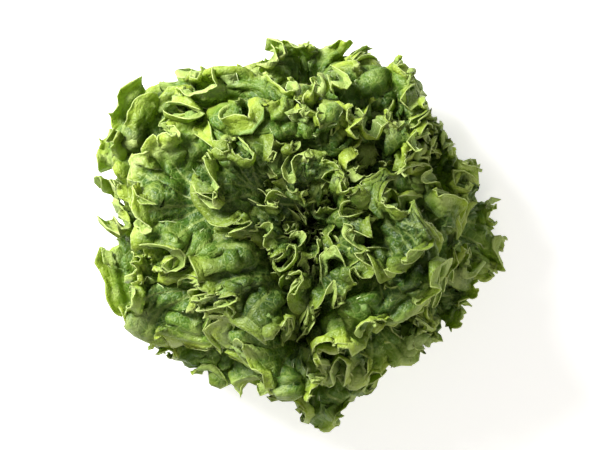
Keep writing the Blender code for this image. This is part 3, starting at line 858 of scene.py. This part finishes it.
class Bench:
    """Lays and links the nodes of one tree."""

    def __init__(self, tree):
        self.tree = tree
        tree.nodes.clear()

    def node(self, kind, settings=None, inputs=None, output=0):
        made = self.tree.nodes.new(kind)
        for name, value in (settings or {}).items():
            setattr(made, name, value)
        for name, value in (inputs or {}).items():
            if isinstance(value, Value):
                self.tree.links.new(value.socket, made.inputs[name])
            else:
                made.inputs[name].default_value = value
        return Value(self, made.outputs[output]) if len(made.outputs) else made

    def math(self, operation, *terms):
        return self.node("ShaderNodeMath", {"operation": operation}, dict(enumerate(terms)))

    def colour(self, share, first, second):
        """From the first colour to the second, by share."""
        mix = {0: share, 6: rgba(first), 7: rgba(second)}
        return self.node("ShaderNodeMix", {"data_type": "RGBA"}, mix, 2)

    def mark(self, name):
        return self.node("ShaderNodeAttribute", {"attribute_name": name}, output="Fac")

    def noise(self, where, scale, detail=3.0):
        inputs = {"Vector": where, "Scale": scale, "Detail": detail}
        return self.node("ShaderNodeTexNoise", None, inputs, "Fac")

    def cells(self, where, scale):
        """Distance from the borders of small cells, in cells."""
        inputs = {"Vector": where, "Scale": scale}
        feature = {"feature": "DISTANCE_TO_EDGE"}
        return self.node("ShaderNodeTexVoronoi", feature, inputs, "Distance")

    def bump(self, height, strength, distance):
        inputs = {"Height": height, "Strength": strength, "Distance": distance}
        return self.node("ShaderNodeBump", None, inputs, "Normal")

    def skin(self, colour, roughness, others):
        inputs = {"Base Color": rgba(colour), "Roughness": roughness, **others}
        return self.node("ShaderNodeBsdfPrincipled", None, inputs)

    def show(self, surface):
        self.node("ShaderNodeOutputMaterial", None, {"Surface": surface})


def new_material(name):
    """A material, the bench for its nodes, and where they are on the object."""
    material = bpy.data.materials.new(name)
    material.use_nodes = True
    lay = Bench(material.node_tree)
    return material, lay, lay.node("ShaderNodeTexCoord", output="Object")


def leaf_finish(name, looks, shade, back):
    """A lettuce blade: patchy green, darker in its inner part as painted shade, brighter towards a
    thin pale margin, with whitish patches of painted highlight, pale veins and a fine network of
    them round raised cells. Light comes through it."""
    material, lay, where = new_material(name)
    reach, vein, midrib = (lay.mark(mark) for mark in ("reach", "vein", "midrib"))
    patches, flecks = lay.noise(where, PATCHES, 4.0), lay.noise(where, FLECKS)
    wide, fine = lay.cells(where, WIDE_NET), lay.cells(where, FINE_NET)
    # Painted shade: towards the midrib the blade leans to the deep green, for the valleys between
    # the frills lie in shade.
    shown = patches.ease(0.38, 0.62) * (1.0 - 0.6 * reach.ease(0.85, 0.30))
    green = lay.colour(shown, shade.deep, shade.middle)
    glow = reach.ease(0.70, 1.0) * 0.80 + flecks.ease(0.42, 0.66) * 0.30 * reach.ease(0.3, 0.8)
    green = lay.colour(glow.math("MINIMUM", 1.0), green, shade.bright)
    # Painted highlight: whitish patches towards the margins of the outer leaves stand in for sheen
    # where light falls.
    painted_highlight = lay.noise(where, PAINTED_HIGHLIGHT_PATCHES).ease(0.50, 0.68) * reach.ease(0.45, 0.85)
    painted_highlight = painted_highlight * lay.mark("place").ease(0.40, 0.60) * looks.painted_highlight
    green = lay.colour(painted_highlight, green, looks.pale)
    beside = abs((vein + 0.5).math("FRACT") - 0.5)
    main = (beside * reach / (0.020 + 0.035 * (1.0 - reach))).ease(1.0, 0.35)
    main = main * reach.ease(0.02, 0.12)
    net = wide.ease(0.060, 0.02) * 0.36 + fine.ease(0.08, 0.03) * 0.16
    pale = (main * 0.60 + net * (1.0 - main)).math("MINIMUM", 0.85)
    green = lay.colour(pale * looks.vein_strength, green, shade.vein)
    green = lay.colour(midrib.ease(0.12, 0.75) * 0.9, green, looks.rib)
    green = lay.colour(reach.ease(0.985, 0.999) * 0.6, green, looks.margin)
    raised = wide.ease(0.0, 0.4) + fine.ease(0.0, 0.3) * 0.5
    raised = raised + lay.cells(where, GRAIN).ease(0.0, 0.3) * 0.10 + flecks * 0.3
    normal = lay.bump(raised, 0.55, 0.0009)
    rough = looks.roughness + (flecks - 0.5) * 0.25
    relief = {"Normal": normal, "Specular IOR Level": 0.45}
    surface = lay.skin(green, rough + 0.12 if back else rough, relief)
    glass = {"Color": rgba(looks.through), "Normal": normal}
    through = lay.node("ShaderNodeBsdfTranslucent", None, glass)
    both = {0: looks.light_through, 1: surface, 2: through}
    lay.show(lay.node("ShaderNodeMixShader", None, both))
    return material


def rib_finish(name, looks, tint=0.0):
    """Pale juicy veins and midribs; tint turns them greener."""
    material, lay, where = new_material(name)
    streaks = lay.noise(where, 160.0)
    green = lay.colour(streaks.ease(0.3, 0.7) * 0.6 + tint, looks.rib, looks.rib_green)
    lay.show(lay.skin(green, 0.42, {"Normal": lay.bump(streaks, 0.3, 0.0004)}))
    return material


def stem_finish(name, looks):
    """Milky stem: pale and ringed on its cut face, greener and rubbed up its side."""
    material, lay, where = new_material(name)
    x, y, z = (lay.node("ShaderNodeSeparateXYZ", None, {0: where}, k) for k in range(3))
    across, along = x - STEM_AT[0], y - STEM_AT[1]
    wobble = lay.noise(where, 90.0)
    radius = (across * across + along * along).math("SQRT") + (wobble - 0.5) * 0.003
    rings = (radius * 1500.0).math("SINE") * 0.5 + 0.5
    cut = lay.colour(rings * 0.35, looks.cut, looks.cut_ring)
    cut = lay.colour(radius.ease(0.0105, 0.0085) * 0.35, cut, looks.rib)
    cut = lay.colour(lay.noise(where, 240.0, 4.0).ease(0.52, 0.70) * 0.5, cut, looks.cut_brown)
    side = lay.colour(z.ease(0.004, 0.03), looks.rib, looks.rib_green)
    side = lay.colour(lay.noise(where, 60.0, 4.0).ease(0.5, 0.75) * 0.6, side, looks.cut_brown)
    colour = lay.colour(z.ease(0.0004, 0.0016), cut, side)
    relief = {"Normal": lay.bump(rings * 0.3 + wobble, 0.4, 0.0005)}
    lay.show(lay.skin(colour, 0.38 + wobble * 0.25, relief))
    return material


def floor_finish(name, stage):
    """A plain pale sweep with the faintest unevenness, lit a little from within."""
    material, lay, where = new_material(name)
    pale = list(stage.floor)
    base = lay.colour(lay.noise(where, 3.0, 2.0) * 0.25, pale, [0.96 * part for part in pale])
    glow = {"Emission Color": rgba(WHITE), "Emission Strength": stage.glow}
    lay.show(lay.skin(base, 0.75, glow))
    return material


def colour_property(name, description, default):
    return bpy.props.FloatVectorProperty(name=name, description=description, default=default,
                                         size=3, min=0.0, max=1.0, subtype="COLOR")


def number(name, description, default, low=0.0, **more):
    return bpy.props.FloatProperty(name=name, description=description, default=default,
                                   min=low, **more)


def portion(name, description, default, low=0.0):
    return number(name, description, default, low, max=1.0, subtype="FACTOR")


def group_of(kind, name, description):
    return bpy.props.PointerProperty(name=name, description=description, type=kind)


class LettuceShade(bpy.types.PropertyGroup):
    """Greens of one tier of leaves."""
    deep: colour_property("Deep", "Green of the valleys and shaded patches", (0.034, 0.088, 0.009))
    middle: colour_property("Middle", "Green of most of the blade", (0.112, 0.230, 0.015))
    bright: colour_property("Bright", "Yellow green towards the margin", (0.37, 0.48, 0.042))
    vein: colour_property("Veins", "Pale green of the veins", (0.46, 0.55, 0.15))


class LettuceLooks(bpy.types.PropertyGroup):
    """Colours and finish that all leaves share."""
    outer: group_of(LettuceShade, "Outer leaves", "Greens outside")
    inner: group_of(LettuceShade, "Inner leaves", "Greens inside")
    heart: group_of(LettuceShade, "Heart", "Greens of the heart")
    backs: group_of(LettuceShade, "Backs", "Greens of the backs")
    margin: colour_property("Margin", "Thin pale line round each leaf", (0.60, 0.68, 0.27))
    # Pale patches: painted highlight, a whitish sheen painted towards the margins of the outer
    # leaves.
    pale: colour_property("Pale patches", "Whitish patches towards the margin", (0.54, 0.62, 0.25))
    rib: colour_property("Midrib", "Pale juicy midrib", (0.66, 0.72, 0.42))
    rib_green: colour_property("Greener midrib", "Midrib where it turns green", (0.42, 0.55, 0.18))
    through: colour_property("Light through", "Colour of light through a blade", (0.44, 0.60, 0.07))
    cut: colour_property("Cut face", "Milky cut of the stem", (0.74, 0.70, 0.50))
    cut_ring: colour_property("Cut rings", "Rings in the cut", (0.56, 0.55, 0.33))
    cut_brown: colour_property("Cut browning", "Browned spots of the cut", (0.42, 0.27, 0.12))
    light_through: portion("Thinness", "Share of light let through", 0.35)
    # Strength of the painted highlight patches.
    painted_highlight: portion("Pale patch strength", "How plain the patches are", 0.55)
    vein_strength: portion("Vein strength", "How plain the veins are", 0.8)
    roughness: portion("Roughness", "Of the waxy fronts", 0.47, 0.1)
    vein_radius: number("Vein radius", "Of side veins at the midrib", 0.0007, 0.0002, max=0.002,
                        precision=4, unit="LENGTH")
    vein_sides: bpy.props.IntProperty(name="Vein sides", description="Faces round a vein",
                                      default=5, min=3, max=12)


class LettuceStage(bpy.types.PropertyGroup):
    """Floor, lights and camera."""
    floor: colour_property("Floor", "Pale floor", (0.80, 0.80, 0.79))
    glow: number("Floor glow", "Light that the floor gives out itself", 0.55)
    key: number("Key light", "From the upper left of the picture", 54.0, unit="POWER")
    fill: number("Fill light", "From the lower right", 9.0, unit="POWER")
    sky: number("Sky", "Soft light from all round", 0.25)
    camera_height: number("Camera height", "Above the floor", CAMERA_HEIGHT, 0.3, unit="LENGTH")


def looks():
    return bpy.context.scene.lettuce_looks


def shared(name, build, *details):
    """A finish is made once and then shared by the pieces that need it."""
    return bpy.data.materials.get(name) or build(name, *details)


def leaf_finishes(tier, shade):
    return [shared(tier + "_front", leaf_finish, looks(), shade, False),
            shared(tier + "_back", leaf_finish, looks(), looks().backs, True)]


def settle(piece, slot, *nodes):
    """A finished piece rides on the head and stands for its solids."""
    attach(piece, "root")
    if nodes:
        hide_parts(*nodes)


@functools.cache
def fine_head():
    """The fine nets of all leaves after their growth, outermost first."""
    return [FineNet(net) for net in grow(plan_leaves())]


class LETTUCE_OT_leaves(bpy.types.Operator):
    """Make the outer and inner leaves, each in its own solid's place"""
    bl_idname = "lettuce.leaves"
    bl_label = "Leaves"

    def execute(self, context):
        for k, net in enumerate(fine_head()[:OUTER_LEAVES], 1):
            tier = "outer" if net.leaf.place > INNER_BELOW else "inner"
            materials = leaf_finishes("leaf_" + tier, getattr(looks(), tier))
            piece = new_piece(f"leaf_{k:02d}_fine", materials, *joined_blades([net]))
            settle(piece, "leaf_" + tier, f"leaf_{k:02d}")
        return {"FINISHED"}


class LETTUCE_OT_heart(bpy.types.Operator):
    """Make the heart: young leaves on the tip of the shoot"""
    bl_idname = "lettuce.heart"
    bl_label = "Heart"

    def execute(self, context):
        young = fine_head()[OUTER_LEAVES:]
        count = np.cumsum([len(net.triangles) for net in young])
        split = int(np.searchsorted(count, count[-1] / 2)) + 1
        materials = leaf_finishes("leaf_heart", looks().heart)
        for name, nets in (("heart_outside", young[:split]), ("heart_inside", young[split:])):
            settle(new_piece(name, materials, *joined_blades(nets)), "leaf_heart", "heart")
        points, faces = turned_shape(shoot_profile(STEM_SPLIT, SHOOT_HEIGHTS[-1], 14), SHOOT_SIDES)
        material = shared("shoot", rib_finish, looks())
        settle(new_piece("heart_shoot", [material], on_stem(points), faces), "leaf_heart", "heart")
        return {"FINISHED"}


def vein_lines(nets):
    """Side veins on the backs as chains of points, with their thickness at each."""
    points, edges, thick = [], [], []
    at = 0
    for net in nets:
        front, back = np.split(on_stem(net.solid(FINE_BLADE)[0]), 2)
        behind = back - front
        behind = behind / np.linalg.norm(behind, axis=1, keepdims=True)
        n = net.leaf.ruffles
        lines = [(k / n, 1, 1.0) for k in range(1 - n, n)]
        lines += [((k + 0.5) / n, FINE_ROWS[0][2], BETWEEN_SIZE) for k in range(-n, n)]
        for c, first, size in lines:
            if abs(c) > VEINS_WITHIN:
                continue
            ids = net.column(c, first)[:-2:2]
            reach = net.rho[ids]
            stout = size * (1 - 0.75 * reach ** 0.8) * smooth(reach, -0.02, 0.1)
            lift = (VEIN_LIFT * looks().vein_radius * stout)[:, None]
            points.append(back[ids] + behind[ids] * lift)
            edges += [(at + k, at + k + 1) for k in range(len(ids) - 1)]
            thick.append(stout)
            at += len(ids)
    return np.concatenate(points), edges, np.concatenate(thick)


def vein_tree(material):
    """Turns chains of edges into tubes, as thick as their thickness says."""
    tree = bpy.data.node_groups.new("Vein tubes", "GeometryNodeTree")
    sockets = {}
    for name, way, kind in (("Chains", "INPUT", "Geometry"), ("Radius", "INPUT", "Float"),
                            ("Sides", "INPUT", "Int"), ("Tubes", "OUTPUT", "Geometry")):
        sockets[name] = tree.interface.new_socket(name=name, in_out=way,
                                                  socket_type="NodeSocket" + kind)
    lay = Bench(tree)
    chains, radius, sides = (lay.node("NodeGroupInput", output=k) for k in range(3))
    thick = lay.node("GeometryNodeInputNamedAttribute", {"data_type": "FLOAT"}, {"Name": "thick"})
    curves = lay.node("GeometryNodeMeshToCurve", None, {"Mesh": chains})
    ring = {"Resolution": sides, "Radius": radius}
    ring = lay.node("GeometryNodeCurvePrimitiveCircle", None, ring)
    tubes = {"Curve": curves, "Profile Curve": ring, "Scale": thick, "Fill Caps": True}
    tubes = lay.node("GeometryNodeCurveToMesh", None, tubes)
    tubes = lay.node("GeometryNodeSetShadeSmooth", None, {"Geometry": tubes})
    tubes = lay.node("GeometryNodeRealizeInstances", None, {"Geometry": tubes})
    tubes = lay.node("GeometryNodeSetMaterial", None, {"Geometry": tubes, "Material": material})
    lay.node("NodeGroupOutput", None, {0: tubes})
    return tree, sockets


class LETTUCE_OT_veins(bpy.types.Operator):
    """Make the raised side veins on the backs of the leaves"""
    bl_idname = "lettuce.veins"
    bl_label = "Veins"

    def execute(self, context):
        points, edges, thick = vein_lines(fine_head()[:OUTER_LEAVES])
        carrier = new_piece("vein_chains", [], points, [], marks={"thick": thick}, edges=edges)
        tree, sockets = vein_tree(shared("veins", rib_finish, looks(), VEIN_TINT))
        tubes = carrier.modifiers.new("Vein tubes", "NODES")
        tubes.node_group = tree
        tubes[sockets["Radius"].identifier] = looks().vein_radius
        tubes[sockets["Sides"].identifier] = looks().vein_sides
        context.view_layer.update()
        drawn = carrier.evaluated_get(context.evaluated_depsgraph_get())
        mesh = bpy.data.meshes.new_from_object(drawn)
        carrier.modifiers.clear()
        bpy.data.objects.remove(carrier)
        if not mesh.polygons:
            raise RuntimeError("the side veins came out empty")
        settle(placed("leaf_veins", mesh), "leaf_inner")
        return {"FINISHED"}


class LETTUCE_OT_stem(bpy.types.Operator):
    """Make the short stem with its milky cut face"""
    bl_idname = "lettuce.stem"
    bl_label = "Stem"

    def execute(self, context):
        dents = Noise(np.random.default_rng(SEED), 1, 4, 8, 2)

        def rub(angle, radius, height):
            if radius <= WORN_BEYOND:
                return 1.0
            return 1 + WEAR * dents(angle / math.pi, np.full_like(angle, height * 40))

        face = [(radius, 0.0) for radius in (0.004, 0.008, 0.012, 0.0145)]
        edge = [(CUT_RADIUS - 0.0004, 0.0001), (CUT_RADIUS, 0.0008), (0.0171, 0.0040),
                (BUTT_RADIUS, 0.0075)]
        profile = face + edge + shoot_profile(BUTT_HEIGHT + 0.0015, STEM_SPLIT, 16)
        points, faces = turned_shape(profile, STEM_SIDES, rub)
        material = shared("stem", stem_finish, looks())
        piece = new_piece("stem_fine", [material], on_stem(points), faces)
        settle(piece, "stem_cream", "stem")
        return {"FINISHED"}


def add_light(name, spot, power, colour):
    place, width = spot
    light = bpy.data.lights.new(name, "AREA")
    light.size = width
    light.energy = power
    light.color = colour
    lamp = placed(name, light)
    lamp.location = place
    lamp.rotation_euler = (Vector(LIT_POINT) - Vector(place)).to_track_quat("-Z", "Y").to_euler()


class LETTUCE_OT_stage(bpy.types.Operator):
    """Lay the pale floor, set the lights and look straight down as the photograph does"""
    bl_idname = "lettuce.stage"
    bl_label = "Stage"

    def execute(self, context):
        stage = context.scene.lettuce_stage
        corners = FLOOR_HALF * np.array([(-1, -1, 0), (1, -1, 0), (1, 1, 0), (-1, 1, 0)])
        material = shared("floor", floor_finish, stage)
        floor = new_piece("floor", [material], corners, [(0, 1, 2, 3)])
        add_light("key", KEY, stage.key, WHITE)
        add_light("fill", FILL, stage.fill, FILL_COLOUR)
        world = bpy.data.worlds.new("sky")
        world.use_nodes = True
        sky = world.node_tree.nodes["Background"]
        sky.inputs["Color"].default_value = rgba(WHITE)
        sky.inputs["Strength"].default_value = stage.sky
        context.scene.world = world
        lens = bpy.data.cameras.new("camera")
        lens.sensor_width = SENSOR
        lens.lens = SENSOR * (stage.camera_height - FRAMING_HEIGHT) / (PICTURE_WIDTH * PIXEL)
        camera = placed("camera", lens)
        across, up = (part * PIXEL for part in STEM_PIXEL)
        camera.location = (STEM_AT[0] - across, STEM_AT[1] - up, stage.camera_height)
        context.scene.camera = camera
        context.scene.view_settings.view_transform = "Standard"
        return {"FINISHED"}


OPERATORS = (LETTUCE_OT_leaves, LETTUCE_OT_heart, LETTUCE_OT_veins, LETTUCE_OT_stem,
             LETTUCE_OT_stage)


class LETTUCE_PT_panel(bpy.types.Panel):
    """Lettuce pieces, greens and stage"""
    bl_idname = "LETTUCE_PT_panel"
    bl_label = "Green leaf lettuce"
    bl_space_type = "VIEW_3D"
    bl_region_type = "UI"
    bl_category = "Lettuce"

    def draw(self, context):
        for operator in OPERATORS:
            self.layout.operator(operator.bl_idname)
        tiers = [(tier.title(), getattr(looks(), tier)) for tier in ("outer", *GREENS)]
        stage = ("Stage", context.scene.lettuce_stage)
        for label, group in [("All leaves", looks()), *tiers, stage]:
            box = self.layout.box()
            box.label(text=label)
            for name, kind in group.bl_rna.properties.items():
                if name not in ("rna_type", "name") and kind.type != "POINTER":
                    box.prop(group, name)


CLASSES = (LettuceShade, LettuceLooks, LettuceStage, *OPERATORS, LETTUCE_PT_panel)


def register():
    for kind in CLASSES:
        bpy.utils.register_class(kind)
    bpy.types.Scene.lettuce_looks = bpy.props.PointerProperty(type=LettuceLooks)
    bpy.types.Scene.lettuce_stage = bpy.props.PointerProperty(type=LettuceStage)


def unregister():
    del bpy.types.Scene.lettuce_stage
    del bpy.types.Scene.lettuce_looks
    for kind in reversed(CLASSES):
        bpy.utils.unregister_class(kind)


def set_greens():
    """The outer leaves keep the defaults; the heart is darker as painted shade, for the middle of
    the head lies in shade; the backs are paler.
    """
    for tier, greens in GREENS.items():
        for name, colour in zip(("deep", "middle", "bright", "vein"), greens):
            setattr(getattr(looks(), tier), name, colour)


def main():
    register()
    set_greens()
    bpy.ops.lettuce.leaves()
    bpy.ops.lettuce.heart()
    bpy.ops.lettuce.veins()
    bpy.ops.lettuce.stem()
    bpy.ops.lettuce.stage()
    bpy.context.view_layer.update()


if __name__ == "__main__":
    main()
